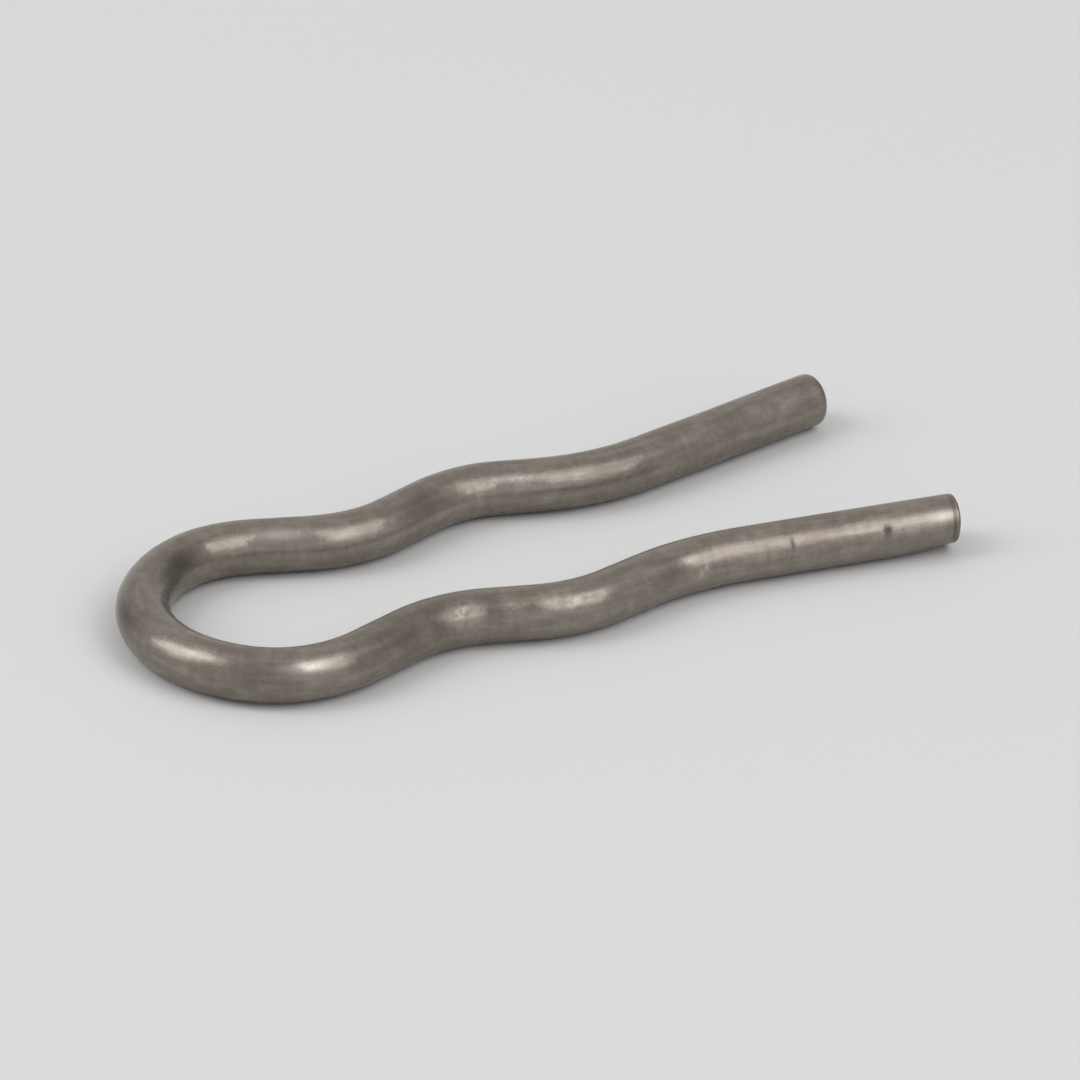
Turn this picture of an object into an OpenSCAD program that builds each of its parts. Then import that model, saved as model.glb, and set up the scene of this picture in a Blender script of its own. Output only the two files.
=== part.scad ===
// Spring clip bent from one length of round spring wire, lying flat.
// A loop joins two mirrored legs. Each leg runs in to a neck, out round a seat,
// in again to a throat, and then flares open to a cut end.
// The clear gaps are the driving sizes: the slope of the wire between two of
// them is worked out, so that every bend runs tangent into the next straight.
// +X runs from the loop to the open mouth, and the origin is on the surface
// that the clip lies on, below the middle of its box.

/* [Wire] */
// Diameter of the round wire
wire_d = 2.5; // [2:0.1:3]
// How much the wire is drawn down in a bend, measured on its radius
draw_down = 0.01; // [0.005:0.005:0.03]
// Rounding round the rim of each cut end
end_round = 0.2; // [0.05:0.05:0.5]

/* [Loop] */
// Inside radius of the closed loop
loop_r = 4.6; // [4:0.1:6]

/* [Neck] */
// Clear gap between the legs at the neck, next to the loop
neck_gap = 6.3; // [5:0.1:7.5]
// Inside radius of the two neck bends
neck_r = 5.2; // [3.5:0.1:8]
// Straight wire between the loop and a neck bend
loop_to_neck = 2.4; // [1:0.1:5]

/* [Seat] */
// Clear width of the seat that holds the pin
seat_w = 9; // [8.2:0.1:11]
// Inside radius of the two seat bends
seat_r = 5.6; // [4:0.1:8]
// Straight wire between a neck bend and a seat bend
neck_to_seat = 2.2; // [1:0.1:5]

/* [Throat] */
// Clear gap between the legs at the throat, where the pin snaps in
throat_gap = 6.7; // [5:0.1:7.8]
// Inside radius of the two throat bends
throat_r = 11.8; // [8:0.1:16]
// Straight wire between a seat bend and a throat bend
seat_to_throat = 2.1; // [1:0.1:5]

/* [Mouth] */
// Angle by which each straight end opens from the centre line
flare = 10; // [4:0.5:20]
// Length of each straight end
tip_run = 9.9; // [6:0.1:14]

/* [Hidden] */

steel_colour = [0.48, 0.455, 0.425];
// Facets round the wire, and round a full turn of a bend
wire_facets = 48;
bend_facets = 180;

wire_r = wire_d / 2;
bend_wire_r = wire_r - draw_down;
// How far a straight reaches into the thinner wire of the bends beside it
lap = 0.1;

// Bend radii to the middle of the wire
loop_line = loop_r + wire_r;
neck_line = neck_r + wire_r;
seat_line = seat_r + wire_r;
throat_line = throat_r + wire_r;

// How far the wire steps sideways between two bends
loop_step = loop_r - neck_gap / 2;
neck_step = (seat_w - neck_gap) / 2;
throat_step = (seat_w - throat_gap) / 2;

// Slope of the straight wire between two opposite bends, from their sideways
// step, the sum of their radii and the length of the straight
function slope(step, radii, run) =
    acos((radii - step) / norm([radii, run])) - atan2(run, radii);

lean = slope(loop_step, loop_line + neck_line, loop_to_neck);
rise = slope(neck_step, neck_line + seat_line, neck_to_seat);
fall = slope(throat_step, seat_line + throat_line, seat_to_throat);

// Half of the loop's arc, from its outermost point to where a leg leaves it
loop_turn = 90 + lean;

// Each leg after the loop, bend by bend: radius to the middle of the wire,
// turn (outwards is positive) and the straight that follows
LEG = [
    [neck_line, lean + rise, neck_to_seat],
    [seat_line, -(rise + fall), seat_to_throat],
    [throat_line, fall + flare, tip_run]
];

// A station on the middle line of the wire is [x, y, heading]
function ahead(s, run) = [s.x + run * cos(s.z), s.y + run * sin(s.z), s.z];
function turned(s, radius, turn) =
    let (side = sign(turn) * radius)
    [s.x + side * (sin(s.z + turn) - sin(s.z)),
     s.y - side * (cos(s.z + turn) - cos(s.z)),
     s.z + turn];

// Where a leg leaves the loop, measured from the loop's outermost point
leg_start = turned([0, 0, 90], loop_line, -loop_turn);

// Where bend i of a leg begins and ends
function bend_start(i) =
    i == 0 ? ahead(leg_start, loop_to_neck) : ahead(bend_end(i - 1), LEG[i - 1][2]);
function bend_end(i) = turned(bend_start(i), LEG[i][0], LEG[i][1]);

// The clip's box ends on the rounded rim of a cut end, and its middle is X = 0
last = len(LEG) - 1;
cut_end = ahead(bend_end(last), tip_run);
foremost = cut_end.x + (wire_r - end_round) * sin(flare) + end_round * (1 - cos(flare));
middle_x = (foremost - bend_wire_r) / 2;

// Stands the children at a station, heading along +X
module at(s) {
    translate([s.x - middle_x, s.y, wire_r]) rotate(s.z) children();
}

module bend(radius, turn) {
    side = sign(turn);
    translate([0, side * radius, 0])
        rotate_extrude(angle = turn, start = -side * 90, $fn = bend_facets)
            translate([radius, 0]) circle(r = bend_wire_r, $fn = wire_facets);
}

module straight(run) {
    translate([-lap, 0, 0]) rotate([0, 90, 0])
        cylinder(r = wire_r, h = run + 2 * lap, $fn = wire_facets);
}

// The last straight, whose cut end has a rounded rim
module cut_straight(run) {
    rotate([0, 90, 0]) rotate_extrude($fn = wire_facets) {
        translate([0, -lap]) square([wire_r - end_round, lap + run]);
        translate([0, -lap]) square([wire_r, lap + run - end_round]);
        translate([wire_r - end_round, run - end_round])
            circle(r = end_round, $fn = wire_facets);
    }
}

module loop() {
    at(leg_start) rotate(180) bend(loop_line, 2 * loop_turn);
}

module leg() {
    at(leg_start) straight(loop_to_neck);
    for (i = [0 : last]) {
        at(bend_start(i)) bend(LEG[i][0], LEG[i][1]);
        at(bend_end(i))
            if (i < last) straight(LEG[i][2]);
            else cut_straight(LEG[i][2]);
    }
}

module spring_clip() {
    color(steel_colour) {
        loop();
        leg();
        mirror([0, 1, 0]) leg();
    }
}

spring_clip();
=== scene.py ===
# %% [markdown]
# # A spring clip bent from round wire
# This clip is one length of round spring wire: a loop, and two legs that each run in to a
# neck, out round a seat, in again to a throat and out to a straight cut end. The legs
# spring over a pin, and the seat holds it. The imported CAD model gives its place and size.
# This lesson gives it what a maker sees with the clip in hand: the drawn skin of the
# wire, the marks of the bending tools, a few nicks and two cut ends that differ.
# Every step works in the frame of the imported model, in metres, so nothing has to be
# fitted to it afterwards.

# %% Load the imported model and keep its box
import math

import bmesh
import bpy
from mathutils import Matrix, Vector, noise


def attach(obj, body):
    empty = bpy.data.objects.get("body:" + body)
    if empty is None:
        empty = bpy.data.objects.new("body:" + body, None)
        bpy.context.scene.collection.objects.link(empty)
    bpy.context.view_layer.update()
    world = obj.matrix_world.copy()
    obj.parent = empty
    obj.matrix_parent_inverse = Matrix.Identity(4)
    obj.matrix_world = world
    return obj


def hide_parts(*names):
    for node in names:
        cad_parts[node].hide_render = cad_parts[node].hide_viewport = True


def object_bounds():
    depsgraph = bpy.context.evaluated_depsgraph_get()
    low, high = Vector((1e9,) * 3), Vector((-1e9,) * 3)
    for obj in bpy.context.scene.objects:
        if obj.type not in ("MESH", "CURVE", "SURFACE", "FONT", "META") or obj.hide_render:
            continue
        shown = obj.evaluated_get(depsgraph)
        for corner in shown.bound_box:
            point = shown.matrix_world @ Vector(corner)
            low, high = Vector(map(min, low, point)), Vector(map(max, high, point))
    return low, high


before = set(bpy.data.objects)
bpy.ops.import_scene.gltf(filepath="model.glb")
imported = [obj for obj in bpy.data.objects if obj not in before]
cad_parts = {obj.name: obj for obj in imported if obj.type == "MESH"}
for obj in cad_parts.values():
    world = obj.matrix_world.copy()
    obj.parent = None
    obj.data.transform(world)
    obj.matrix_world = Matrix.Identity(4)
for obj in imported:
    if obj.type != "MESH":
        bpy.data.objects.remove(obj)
cad_low, cad_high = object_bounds()
mm = 0.001
print("CAD box in mm:", [round(side / mm, 3) for side in cad_high - cad_low])

# %% [markdown]
# ## The sizes of the bends
# A bender works from inside radii and clear gaps, because those can be gauged on the
# bench. The slope of the wire between two bends isn't chosen: it follows from how far
# the wire has to step sideways. The radii here run to the middle
# of the wire, since that is the line which the round section is carried along.

# %% Name the sizes and work out the slopes
wire_r = 1.25 * mm
draw_down = 0.01 * mm
loop_r, neck_r, seat_r, throat_r = 4.6 * mm, 5.2 * mm, 5.6 * mm, 11.8 * mm
neck_gap, seat_w, throat_gap = 6.3 * mm, 9 * mm, 6.7 * mm
loop_to_neck, neck_to_seat, seat_to_throat, tip_run = 2.4 * mm, 2.2 * mm, 2.1 * mm, 9.9 * mm
flare = math.radians(10)

loop_line, neck_line, seat_line, throat_line = (
    inside + wire_r for inside in (loop_r, neck_r, seat_r, throat_r))


def slope(step, radii, run):
    """Slope of the straight between two opposite bends that step the wire sideways."""
    return math.acos((radii - step) / math.hypot(radii, run)) - math.atan2(run, radii)


lean = slope(loop_r - neck_gap / 2, loop_line + neck_line, loop_to_neck)
rise = slope((seat_w - neck_gap) / 2, neck_line + seat_line, neck_to_seat)
fall = slope((seat_w - throat_gap) / 2, seat_line + throat_line, seat_to_throat)
print("slopes in degrees:", [round(math.degrees(angle), 2) for angle in (lean, rise, fall)])

# %% [markdown]
# ## Bend half of the clip
# The wire could be a curve with a round bevel, but then its skin has no points that can
# be dented later. So a ring of points is carried along instead, as the wire itself goes
# through a bender: spun round a centre for each bend and extruded for each straight.
# The work starts at the loop's outermost point, because the other leg is its mirror
# image. Each point also notes where it would lie if the wire were straight again:
# how far along, how far to the outer side and how far up. That note is what the grain
# of the drawn steel follows later, so that it runs round the bends as on real wire.

# %% Carry a ring of points round each bend and along each straight
AROUND = 96
STEP = 0.16 * mm
RIM = 0.6 * mm  # left free of rings at the cut end, where the rim gets its rounding

FAR_HALF = [  # radius to the middle of the wire, turn (left is positive), straight after
    (loop_line, -(math.pi / 2 + lean), loop_to_neck),
    (neck_line, lean + rise, neck_to_seat),
    (seat_line, -(rise + fall), seat_to_throat),
    (throat_line, fall + flare, tip_run - RIM),
]

wire = bmesh.new()
straightened = wire.verts.layers.float_vector.new("straightened")
round_wire = wire.verts.layers.float_vector.new("round_wire")


def points_of(geometry):
    return [g for g in geometry if isinstance(g, bmesh.types.BMVert)]


def note_place(ring, at, heading, along):
    """Writes on each point where it lies on the straightened wire, and which way runs round it."""
    forward = Vector((math.cos(heading), math.sin(heading), 0))
    outer = Vector((-forward.y, forward.x, 0))
    for point in ring:
        offset = point.co - at
        point[straightened] = (along + offset.dot(forward), offset.dot(outer), offset.z)
        point[round_wire] = forward.cross(offset).normalized()


def spin_on(edges, centre, angle):
    """Spins the last ring of edges one step round a bend's centre."""
    spun = bmesh.ops.spin(wire, geom=edges, cent=centre, axis=(0, 0, 1), angle=angle,
                          steps=1, use_duplicate=False)
    return [g for g in spun["geom_last"] if isinstance(g, bmesh.types.BMEdge)]


def push_on(edges, run):
    """Extrudes the last ring of edges one step straight on."""
    pushed = bmesh.ops.extrude_edge_only(wire, edges=edges)["geom"]
    points = set(points_of(pushed))
    bmesh.ops.translate(wire, vec=run, verts=list(points))
    return [g for g in pushed if isinstance(g, bmesh.types.BMEdge) and points.issuperset(g.verts)]


def points_on(edges):
    return list({point for edge in edges for point in edge.verts})


at = Vector((cad_low.x + wire_r - draw_down, 0, wire_r))
heading, along = math.pi / 2, 0.0
upright = Matrix.Translation(at) @ Matrix.Rotation(math.pi / 2, 4, "X")
first = bmesh.ops.create_circle(wire, segments=AROUND, radius=wire_r, matrix=upright)["verts"]
ring = list({edge for point in first for edge in point.link_edges})
note_place(first, at, heading, along)

for radius, turn, straight in FAR_HALF:
    steps = math.ceil(radius * abs(turn) / STEP)
    side = math.copysign(radius, turn)
    centre = at + side * Vector((-math.sin(heading), math.cos(heading), 0))
    for _ in range(steps):
        ring = spin_on(ring, centre, turn / steps)
        heading += turn / steps
        along += radius * abs(turn) / steps
        at = centre - side * Vector((-math.sin(heading), math.cos(heading), 0))
        note_place(points_on(ring), at, heading, along)
    steps = math.ceil(straight / STEP)
    forward = Vector((math.cos(heading), math.sin(heading), 0))
    for run in [straight / steps] * steps + ([RIM] if straight == FAR_HALF[-1][2] else []):
        ring = push_on(ring, forward * run)
        along += run
        at = at + forward * run
        note_place(points_on(ring), at, heading, along)

half_wire = along
print("half of the wire in mm:", round(half_wire / mm, 3), "cut end at", [round(c / mm, 3) for c in at])

# %% [markdown]
# ## Mirror it for the other leg
# Both legs are bent to the same sizes, so one operator makes the second. It merges the
# points on the mirror plane, which closes the loop without a seam. The mirrored points
# keep their notes, apart from the distance along the wire: that becomes negative, so the
# straightened wire runs on through the middle of the loop and no grain is mirrored.

# %% Mirror, merge and turn the faces outwards
bmesh.ops.mirror(wire, geom=wire.verts[:] + wire.edges[:] + wire.faces[:],
                 matrix=Matrix.Identity(4), merge_dist=0.001 * mm, axis="Y")


def mirror_note(point):
    """Gives a point of the near leg the notes of its mirror image, but behind the loop's middle."""
    along, outer, up = point[straightened]
    point[straightened] = (-along, outer, up)
    x, y, z = point[round_wire]
    point[round_wire] = (x, -y, z)


for point in wire.verts:
    if point.co.y < 0:
        mirror_note(point)
print("points:", len(wire.verts), "open edges:", sum(edge.is_boundary for edge in wire.edges))

# %% [markdown]
# ## Close the two cut ends
# Spring wire is cropped by two blades. The end that shows best, on the far leg, was
# tumbled round. The near one is square, with only a hair of rounding. Each end is filled
# with one face and its rim bevelled, which gives the rounding a true size. Rings are then
# inset on the face, because a cropped face isn't flat, and it needs points to show that.

# %% Cap, bevel and inset each end
ROUNDING = {"near": 0.1 * mm, "far": 0.35 * mm}
cut_face = wire.verts.layers.float.new("cut_face")
tip = {"near": Vector((at.x, -at.y, at.z)), "far": at}
outwards = {"near": Vector((forward.x, -forward.y, 0)), "far": forward}

for end, rounding in ROUNDING.items():
    rim = [edge for edge in wire.edges if edge.is_boundary and edge.verts[0].co.y * tip[end].y > 0]
    cap = bmesh.ops.contextual_create(wire, geom=rim)["faces"][0]
    bmesh.ops.bevel(wire, geom=rim, offset=rounding, offset_type="OFFSET", affect="EDGES",
                    segments=8, profile=0.5, material=-1, clamp_overlap=True)
    cap = max(wire.faces, key=lambda face: len(face.verts) * (face.calc_center_median().y * tip[end].y > 0))
    for _ in range(8):
        bmesh.ops.inset_region(wire, faces=[cap], thickness=0.11 * mm, use_even_offset=True)
    bmesh.ops.poke(wire, faces=[cap])

long_edges = [edge for edge in wire.edges if edge.calc_length() > 2 * STEP]
bmesh.ops.subdivide_edges(wire, edges=long_edges, cuts=6, use_grid_fill=True)
bmesh.ops.recalc_face_normals(wire, faces=wire.faces[:])
for point in wire.verts:
    near_leg = point.co.y < 0
    place = Vector((point.co.x, abs(point.co.y), point.co.z))
    depth = (at - place).dot(forward)
    if (place - at).length < 2 * wire_r and depth < RIM - 0.001 * mm:
        point.co.y = abs(point.co.y)
        note_place([point], at, heading, half_wire)
        if near_leg:
            point.co.y = -point.co.y
            mirror_note(point)
        point[cut_face] = float(depth < 0.001 * mm)
print("open edges:", sum(edge.is_boundary for edge in wire.edges), "faces:", len(wire.faces))

# %% [markdown]
# ## Give the wire its skin
# Bent wire isn't a perfect tube. It is drawn down a little in each bend, the drawing die
# leaves it slightly uneven, and the tools that bent it leave marks: a pressed, speckled
# patch where a forming pin slipped, a rubbed line where a jaw held it, and a few nicks.
# They are made in the mesh, by moving points along the radius of the wire, because they
# are the wire's own shape and have to catch the light from every side.
# A mark is placed by its distance along the wire from the middle of the loop (the near
# leg is negative) and by the angle round it: 0 faces out of the clip and 90 faces up.
# Many marks have no depth and only paint light on the skin: a positive last value paints
# a highlight and a negative one paints shade, where the bands of light begin and end.
# The nicks, burrs, blade lines, jaw line and pressed patches are real marks of the tools.

# %% Press the marks into the skin
MARKS = [  # along and angle of the middle, half length, half width in degrees, depth, wear and painted light (highlight above 0, shade below 0)
    ("lower side squeezed by the cropping blade", -41.3, -62, 1.6, 50, 0.22, 0),
    ("line left by the cropping blade", -41.1, 35, 0.06, 60, 0.008, -1.1),
    ("dull rim of the near cut end", -41.36, 40, 0.12, 60, 0, -0.55),
    # Painted highlight on the band by the near cut end.
    ("painted highlight at the near cut end's corner", -40.65, 42, 0.45, 13, 0, 0.5),
    ("painted highlight along the side near the cut end", -39.6, 43, 1.5, 13, 0, 0.2),
    ("burr on top of the near cut end", -41.0, 98, 0.3, 16, -0.05, 0.2),
    ("burr on top of the far cut end", 40.9, 95, 0.5, 22, -0.04, 0),
    ("nick near the cut end", -37.85, 31, 0.15, 13, 0.06, -1.6),
    ("hairline nick", -33.2, 36, 0.1, 16, 0.03, -1.1),
    # Painted highlight and painted shade where the near leg's band ends.
    ("painted highlight at the end of the band", -27.95, 42, 0.4, 12, 0, 0.35),
    ("painted shade after the band", -26.9, 42, 0.55, 24, 0, -0.55),
    ("speck after the band", -28.6, 20, 0.1, 7, 0.015, 0.7),
    ("second speck after the band", -28.3, 9, 0.12, 8, 0.015, 0.6),
    # Painted shade after the near seat.
    ("painted shade after the seat", -12.7, 45, 1.9, 75, 0, -0.36),
    # Painted shade and painted highlights that place and shape the loop's bands.
    ("painted shade at the start of the loop", -9.7, 46, 0.5, 20, 0, -0.7),
    ("painted highlight on the shoulder of the loop", -7.7, 43, 0.85, 12, 0, 0.9),
    ("painted shade on the front of the loop", -5.6, 30, 1.0, 30, 0, -0.3),
    ("painted highlight on the front of the loop", -2.9, 46, 1.3, 12, 0, 0.1),
    ("painted shade on the lower side of the loop", 1.3, 28, 1.4, 30, 0, -0.9),
    # Painted shade where the seat band ends and round the pressed patch.
    ("painted shade at the end of the seat band", -19.7, 45, 0.4, 12, 0, -0.35),
    ("painted shade before the patch", -17.8, 47, 0.65, 24, 0, -0.8),
    ("painted shade after the patch", -14.8, 45, 0.7, 30, 0, -0.75),
    # Painted shade in the loop's inner corner.
    ("painted shade inside the loop", 5.9, 138, 1.7, 32, 0, -0.75),
    # Painted highlights and painted light on the legs' bands and lower sides.
    ("painted highlight on the neck of the far leg", 12.2, 129, 1.4, 14, 0, 0.7),
    ("painted light on the lower inner side of the far leg", 20.5, 170, 9.0, 16, 0, 0.22),
    ("painted light on the lower outer side of the near leg", -31.0, -22, 12.0, 24, 0, 0.14),
    ("painted highlight beyond the far seat", 24.6, 134, 0.9, 12, 0, 0.35),
    ("jaw line on the far leg", 22.6, 165, 0.2, 36, 0.006, 0.25),
    # Painted shade on the far leg's bands.
    ("painted shade on the side of the far seat", 22.3, 126, 0.9, 12, 0, -0.25),
    ("painted shade before the far seat", 19.2, 125, 1.6, 60, 0, -0.2),
    ("painted shade on the straight of the far leg", 28.0, 137, 1.8, 16, 0, -0.25),
    ("painted shade on the throat of the far leg", 29.8, 130, 1.2, 22, 0, -0.45),
    ("painted shade on the end run of the far leg", 35.0, 120, 4.0, 60, 0, -0.07),
]
PRESSED = [  # along and angle of the middle, half length, half width, roughness of the relief
    ("patch after the seat bend", -16.25, 46, 0.8, 18, 0.012, -0.7),
    ("fainter patch below it", -16.2, 18, 0.8, 14, 0.008, 0.3),
    ("patch on the seat bend", -21.3, 45, 1.0, 14, 0.006, 0.45),
    ("patch on the far seat bend", 23.0, 138, 1.0, 20, 0.008, 0.1),
]
# The marks' wear, painted highlights and painted shade are kept on each point for the material.
wear_and_painted_light = wire.verts.layers.float.new("wear_and_painted_light")


def bell(offset, half_width):
    """1 at the middle of a mark, falling smoothly to nearly 0 at twice its half width."""
    return math.exp(-(offset / half_width) ** 2)


def skin(along, angle, spot):
    """How deep the skin lies below the round wire in mm, and its wear and painted light up to 1: highlight
    above 0, shade below 0.
    """
    depth = 0.004 + 0.004 * noise.noise(spot * 0.45) + 0.0016 * noise.noise(spot * 1.7)
    wear_and_light = 0.0
    for _, mark_at, mark_angle, length, width, deep, wear_and_light_amount in MARKS:
        share = bell(along - mark_at, length) * bell((angle - mark_angle + 180) % 360 - 180, width)
        depth += deep * share
        wear_and_light += wear_and_light_amount * share
    for _, mark_at, mark_angle, length, width, relief, wear_and_light_amount in PRESSED:
        share = bell(along - mark_at, length) * bell((angle - mark_angle + 180) % 360 - 180, width)
        if share > 0.01:
            bumps = noise.noise(spot * 3.6) + 0.6 * noise.noise(spot * 8)
            depth += relief * share * (0.6 + bumps)
            wear_and_light += wear_and_light_amount * share * max(-0.4, min(1.0, 0.25 + 2.4 * bumps))
    return depth, wear_and_light


UNEVEN = [  # along, half length, how far the leg strays along X, Y and Z
    ("near cut end", -41.4, 3.5, 0.03, 0.04, 0.02),
    ("near throat", -30.0, 5.0, 0, -0.19, 0),
    ("near neck", -15.6, 2.5, 0, -0.05, 0),
    ("start of the loop", -10.9, 1.7, 0, 0.05, 0),
    ("front of the loop", -6.3, 2.2, 0, -0.09, 0),
    ("far shoulder of the loop", 8.0, 1.8, 0, 0.08, 0),
    ("far throat", 28.5, 4.5, 0, -0.15, 0),
    ("far neck", 18.0, 4.0, 0, -0.07, 0),
    ("far seat", 23.3, 1.5, 0, 0.06, 0),
    ("far straight", 35.2, 2.5, 0, -0.05, 0),
    ("far cut end", 41.4, 2.5, 0.18, 0.04, 0.015),
]
LEAN = {"near": 0.12, "far": 0.10}  # how far the top of each cut face leans out, in mm
for point in wire.verts:
    along, _, up = point[straightened] / mm
    end = "near" if along < 0 else "far"
    point.co += outwards[end] * LEAN[end] * max(0.0, up) / 1.25 * bell(abs(along) - 41.4, 0.9) * mm
    for _, stray_at, length, *stray in UNEVEN:
        point.co += bell(along - stray_at, length) * Vector(stray) * mm


def crop(outer, up, torn):
    """How deep a cropped face lies: nearly flat where the blade cut, torn in lines below that."""
    lines = noise.noise(Vector((outer * 7, up * 0.9, 0))) + 0.5 * noise.noise(Vector((outer * 17, up * 2, 5)))
    below = max(0.0, min(1.0, 0.55 - 0.9 * up + 0.3 * noise.noise(Vector((outer * 1.5, 0, 9)))))
    return torn * (0.15 + below * (0.5 + 0.5 * lines) + 0.1 * noise.noise(Vector((outer * 4, up * 4, 2))))


deepest = 0.0
TORN = {"near": 0.12, "far": 0.06}
outer_side = {"near": Vector((-forward.y, -forward.x, 0)), "far": Vector((-forward.y, forward.x, 0))}
for point in wire.verts:
    along, outer, up = (value / mm for value in point[straightened])
    radius = math.hypot(outer, up)
    end = "near" if along < 0 else "far"
    angle = math.degrees(math.atan2(up, outer))
    depth, wear_and_light = skin(along, angle, Vector((along, outer, up)))
    if abs(along) > half_wire / mm - 2:
        point.co -= (outer_side[end] * outer + Vector((0, 0, up))) / 1.25 * depth * mm
    else:
        point.co -= point.normal * depth * mm
    if point[cut_face]:
        point.co -= outwards[end] * crop(outer, up, TORN[end]) * bell(radius, 1.2) * mm
        continue
    point[wear_and_painted_light] = wear_and_light
    deepest = max(deepest, depth)
print("deepest mark in mm:", round(deepest, 3))

# %% [markdown]
# ## Finish of the steel
# The wire is bare spring steel, drawn and then tempered, which leaves a thin, dark and
# slightly brown skin with a satin shine. Light catches it in long bands. The material
# reads the notes on the straightened wire, so the fine lines of the drawing die follow
# each bend. Three patterns make it: lines along the wire, a soft mottling, and a grain.

# %% Nodes of the steel
steel = bpy.data.materials.new("tempered_spring_steel")
steel.use_nodes = True
nodes, links = steel.node_tree.nodes, steel.node_tree.links
nodes.clear()


def add(kind, inputs=(), **settings):
    """Adds a node, sets its properties, and fills its inputs with values or other nodes' outputs."""
    made = nodes.new("ShaderNode" + kind)
    for name, value in settings.items():
        setattr(made, name, value)
    for name, value in dict(inputs).items():
        if isinstance(value, bpy.types.NodeSocket):
            links.new(value, made.inputs[name])
        else:
            made.inputs[name].default_value = value
    return made


def pattern(stretch, detail=3.0, roughness=0.55):
    """Noise on the straightened wire. Stretch is features per metre along, outwards and up."""
    place = add("Mapping", {"Vector": on_wire, "Scale": stretch})
    return add("TexNoise", {"Vector": place.outputs["Vector"], "Scale": 1.0, "Detail": detail,
                            "Roughness": roughness}).outputs["Fac"]


def spread(value, low, high, new_low, new_high):
    """Maps low..high to new_low..new_high."""
    return add("MapRange", {"Value": value, "From Min": low, "From Max": high,
                            "To Min": new_low, "To Max": new_high}).outputs["Result"]


def mixed(share, first_colour, second_colour, blend="MIX"):
    made = nodes.new("ShaderNodeMix")
    made.data_type, made.blend_type = "RGBA", blend
    for socket, value in zip((made.inputs[0], made.inputs[6], made.inputs[7]),
                             (share, first_colour, second_colour)):
        if isinstance(value, bpy.types.NodeSocket):
            links.new(value, socket)
        else:
            socket.default_value = value
    return made.outputs[2]


on_wire = add("Attribute", attribute_name="straightened").outputs["Vector"]
is_cut = add("Attribute", attribute_name="cut_face").outputs["Fac"]
wear_and_painted_light_share = add("Attribute", attribute_name="wear_and_painted_light").outputs["Fac"]
round_it = add("Attribute", attribute_name="round_wire").outputs["Vector"]

die_lines = pattern((350, 9000, 9000), detail=1)
mottling = pattern((900, 1500, 1500), detail=3)
grain = pattern((6000, 7000, 7000), detail=0.5)
across = pattern((2400, 900, 900), detail=2)
dimples = pattern((2600, 4600, 4600), detail=1)
streaks = pattern((450, 2600, 2600), detail=2)
crop_lines = pattern((500, 9000, 1300), detail=3)

# %% Colour, shine and relief
dark_skin, pale_skin = (0.168, 0.1412, 0.1168, 1), (0.287, 0.2525, 0.2152, 1)
burnish_and_painted_highlight = (0.46, 0.440, 0.395, 1)
fresh_cut, dull_cut = (0.38, 0.36, 0.33, 1), (0.25, 0.23, 0.205, 1)
oxide_and_painted_shade = (0.075, 0.063, 0.053, 1)
skin_colour = mixed(spread(mottling, 0.3, 0.7, 0.05, 0.9), dark_skin, pale_skin)
skin_colour = mixed(spread(grain, 0.35, 0.65, 0, 0.35), skin_colour, pale_skin)
skin_colour = mixed(spread(across, 0.60, 0.40, 0, 0.5), skin_colour, dark_skin)
skin_colour = mixed(spread(streaks, 0.58, 0.42, 0, 0.42), skin_colour, dark_skin)
skin_colour = mixed(spread(streaks, 0.5, 0.68, 0, 0.36), skin_colour, pale_skin)
# Above 0 the marks turn the skin to bright steel, as burnish and painted highlight; below 0 to dark oxide, as
# oxide in the nicks and painted shade.
skin_colour = mixed(wear_and_painted_light_share, skin_colour, burnish_and_painted_highlight)
skin_colour = mixed(spread(wear_and_painted_light_share, 0, -1, 0, 1), skin_colour, oxide_and_painted_shade)
cut_colour = mixed(spread(crop_lines, 0.35, 0.62, 0, 1), dull_cut, fresh_cut)
colour = mixed(is_cut, skin_colour, cut_colour)

roughness = add("Math", {0: spread(grain, 0.3, 0.7, 0.21, 0.27), 1: spread(die_lines, 0.3, 0.7, -0.02, 0.03)},
                operation="ADD").outputs[0]
roughness = add("Math", {0: roughness, 1: spread(is_cut, 0, 1, 0, 0.14)}, operation="ADD").outputs[0]

relief = add("Bump", {"Height": die_lines, "Distance": 0.0014 * mm, "Strength": 1.0})
relief = add("Bump", {"Height": grain, "Distance": 0.0006 * mm, "Strength": 1.0,
                      "Normal": relief.outputs["Normal"]})
relief = add("Bump", {"Height": dimples, "Distance": 0.0065 * mm, "Strength": 1.0,
                      "Normal": relief.outputs["Normal"]})

relief = add("Bump", {"Height": crop_lines, "Distance": 0.010 * mm, "Strength": is_cut,
                      "Normal": relief.outputs["Normal"]})

shader = add("BsdfPrincipled", {"Base Color": colour, "Roughness": roughness, "Metallic": 0.6,
                                "Anisotropic": 0.82, "Tangent": round_it,
                                "Normal": relief.outputs["Normal"]})
links.new(shader.outputs["BSDF"], add("OutputMaterial").inputs["Surface"])
print("steel has", len(nodes), "nodes")

# %% [markdown]
# ## Hand the wire over to the frame
# The finished mesh becomes one object at the origin, with its place in its points. It
# rides on the one body there is, and it stands in for the plain CAD solid.

# %% Make the object and let it replace the CAD solid
shape = bpy.data.meshes.new("bent_wire")
wire.to_mesh(shape)
wire.free()
shape.polygons.foreach_set("use_smooth", [True] * len(shape.polygons))
shape.materials.append(steel)
bent_wire = bpy.data.objects.new("bent_wire", shape)
bpy.context.scene.collection.objects.link(bent_wire)
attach(bent_wire, "root")
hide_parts("spring_clip")
print("triangles:", sum(len(face.vertices) - 2 for face in shape.polygons))

# %% [markdown]
# ## Floor
# The clip was photographed on plain pale board. It is one flat face with a matt, even
# grey, wide enough that its edge never comes into view.

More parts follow.
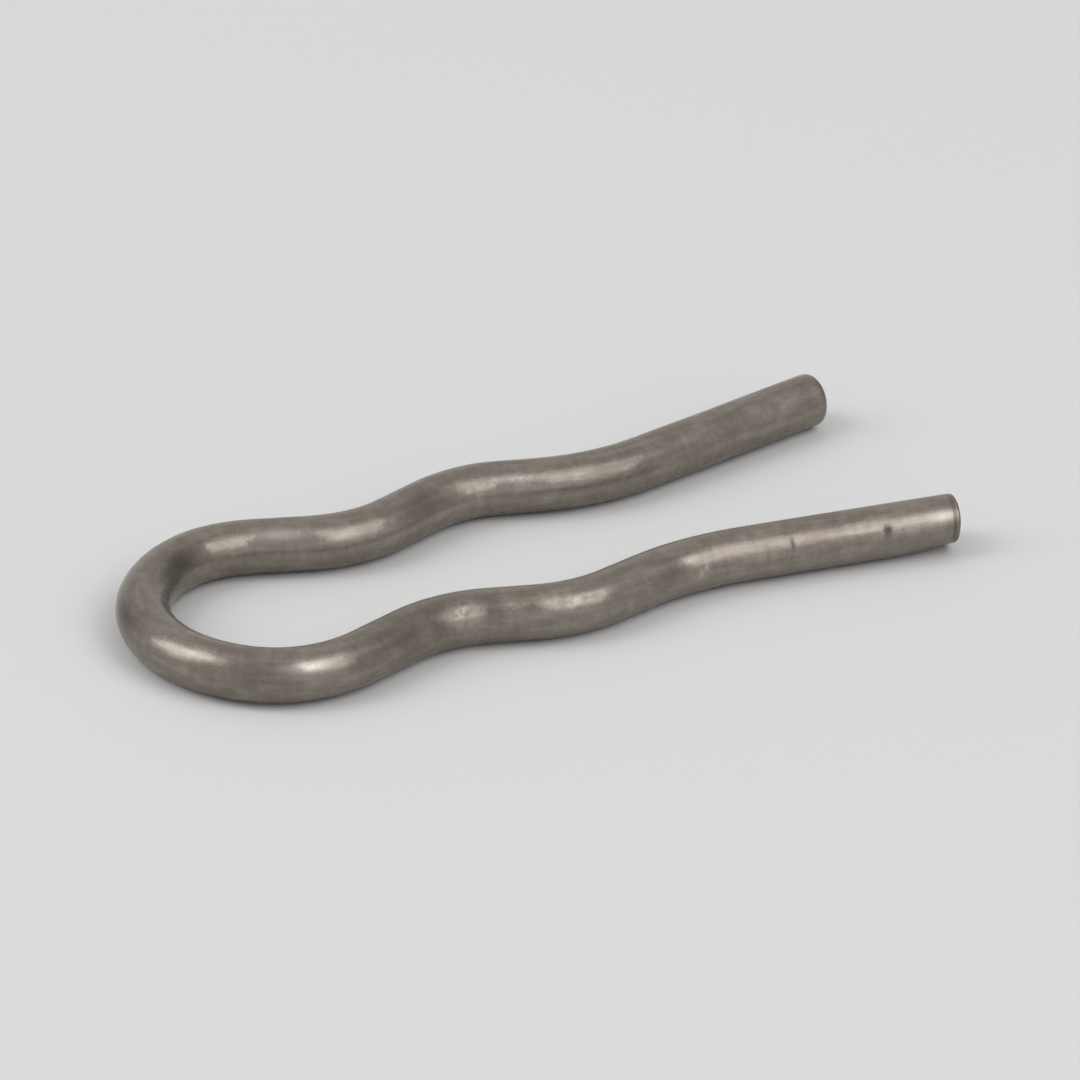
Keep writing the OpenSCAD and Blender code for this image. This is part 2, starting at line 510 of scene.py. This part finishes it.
# %% Lay the floor
board = bmesh.new()
bmesh.ops.create_grid(board, x_segments=1, y_segments=1, size=3.0)
floor_shape = bpy.data.meshes.new("floor")
board.to_mesh(floor_shape)
board.free()
floor = bpy.data.objects.new("floor", floor_shape)
bpy.context.scene.collection.objects.link(floor)
pale_board = bpy.data.materials.new("pale_board")
pale_board.use_nodes = True
paint = pale_board.node_tree.nodes["Principled BSDF"]
paint.inputs["Base Color"].default_value = (0.635, 0.635, 0.635, 1)
paint.inputs["Roughness"].default_value = 0.9
paint.inputs["Specular IOR Level"].default_value = 0.2
floor_shape.materials.append(pale_board)

# %% [markdown]
# ## Light
# Polished wire shows the room it stands in. The bright bands on the clip come from two
# softboxes, one ahead to the right and one behind to the left, and the calm tone between
# them from pale walls all round. The side that the open mouth faces is darker, which
# gives the inside of the loop its depth.

# %% Hang two softboxes in a pale room
bpy.context.scene.view_settings.view_transform = "Standard"


def towards(azimuth, height):
    """Direction from the clip: azimuth from +X to +Y, and height above the floor, in degrees."""
    azimuth, height = math.radians(azimuth), math.radians(height)
    return Vector((math.cos(azimuth) * math.cos(height), math.sin(azimuth) * math.cos(height),
                   math.sin(height)))


def softbox(name, azimuth, height, width, tall, tilt, glow, distance=0.7):
    """A rectangular area light. Width, tall and tilt are angles in degrees as the clip sees them."""
    lamp = bpy.data.lights.new(name, "AREA")
    lamp.shape = "RECTANGLE"
    lamp.size = 2 * distance * math.tan(math.radians(width / 2))
    lamp.size_y = 2 * distance * math.tan(math.radians(tall / 2))
    lamp.energy = glow * math.pi * lamp.size * lamp.size_y
    stand = bpy.data.objects.new(name, lamp)
    facing = towards(azimuth, height).to_track_quat("Z", "Y").to_matrix().to_4x4()
    stand.matrix_world = (Matrix.Translation(towards(azimuth, height) * distance) @ facing
                          @ Matrix.Rotation(math.radians(tilt), 4, "Z"))
    bpy.context.scene.collection.objects.link(stand)
    print(name, "is", round(lamp.size, 2), "by", round(lamp.size_y, 2), "m")


softbox("front_softbox", -61.6, 49.5, 34, 41, -25, 2.4)
softbox("back_softbox", 160, 42, 29, 44, -12, 3.0)

room = bpy.data.worlds.new("pale_room")
bpy.context.scene.world = room
room.use_nodes = True
nodes, links = room.node_tree.nodes, room.node_tree.links
nodes.clear()
direction = add("TexCoord").outputs["Generated"]
overhead = add("SeparateXYZ", {"Vector": direction}).outputs["Z"]
walls = mixed(spread(overhead, 0.2, 1.0, 0, 1), (0.63, 0.63, 0.63, 1), (0.66, 0.66, 0.66, 1))
front_wall = add("VectorMath", {0: direction, 1: towards(-90, 6)}, operation="DOT_PRODUCT").outputs["Value"]
walls = mixed(add("MapRange", {"Value": front_wall, "From Min": 0.80, "From Max": 0.97, "To Min": 0.0,
                               "To Max": 1.0}, interpolation_type="SMOOTHSTEP").outputs["Result"],
              walls, (0.85, 0.85, 0.85, 1))
lit_wall = add("VectorMath", {0: direction, 1: towards(-26, 43)}, operation="DOT_PRODUCT").outputs["Value"]
walls = mixed(add("MapRange", {"Value": lit_wall, "From Min": 0.94, "From Max": 0.995, "To Min": 0.0,
                               "To Max": 1.0}, interpolation_type="SMOOTHSTEP").outputs["Result"],
              walls, (1.05, 1.05, 1.05, 1))
dim_side = add("VectorMath", {0: direction, 1: towards(0, 20)}, operation="DOT_PRODUCT").outputs["Value"]
walls = mixed(add("MapRange", {"Value": dim_side, "From Min": 0.78, "From Max": 0.98, "To Min": 0.0,
                               "To Max": 1.0}, interpolation_type="SMOOTHSTEP").outputs["Result"],
              walls, (0.30, 0.30, 0.30, 1))
walls = mixed(add("LightPath").outputs["Is Camera Ray"], walls, (0.69, 0.69, 0.69, 1))
links.new(add("Background", {"Color": walls}).outputs["Background"],
          add("OutputWorld").inputs["Surface"])

# %% [markdown]
# ## Camera
# The photograph was taken with a long lens from over the near leg, about thirty degrees
# up. The camera stands on a line from the point it aims at, and is rolled a little.

# %% Stand the camera
camera_side, camera_height, camera_roll = math.radians(-29.1), math.radians(29.2), math.radians(1.37)
aim, camera_distance = Vector((1.488, 0.309, 1.25)) * mm, 446.7 * mm

lens = bpy.data.cameras.new("camera")
lens.sensor_width = 36.0
lens.lens = 326.8
lens.clip_start, lens.clip_end = 0.01, 10.0
camera = bpy.data.objects.new("camera", lens)
back = Vector((math.sin(camera_side) * math.cos(camera_height),
               -math.cos(camera_side) * math.cos(camera_height), math.sin(camera_height)))
turned = back.to_track_quat("Z", "Y").to_matrix().to_4x4() @ Matrix.Rotation(camera_roll, 4, "Z")
camera.matrix_world = Matrix.Translation(aim + back * camera_distance) @ turned
bpy.context.scene.collection.objects.link(camera)
bpy.context.scene.camera = camera
print("camera at", [round(c, 4) for c in camera.matrix_world.translation])
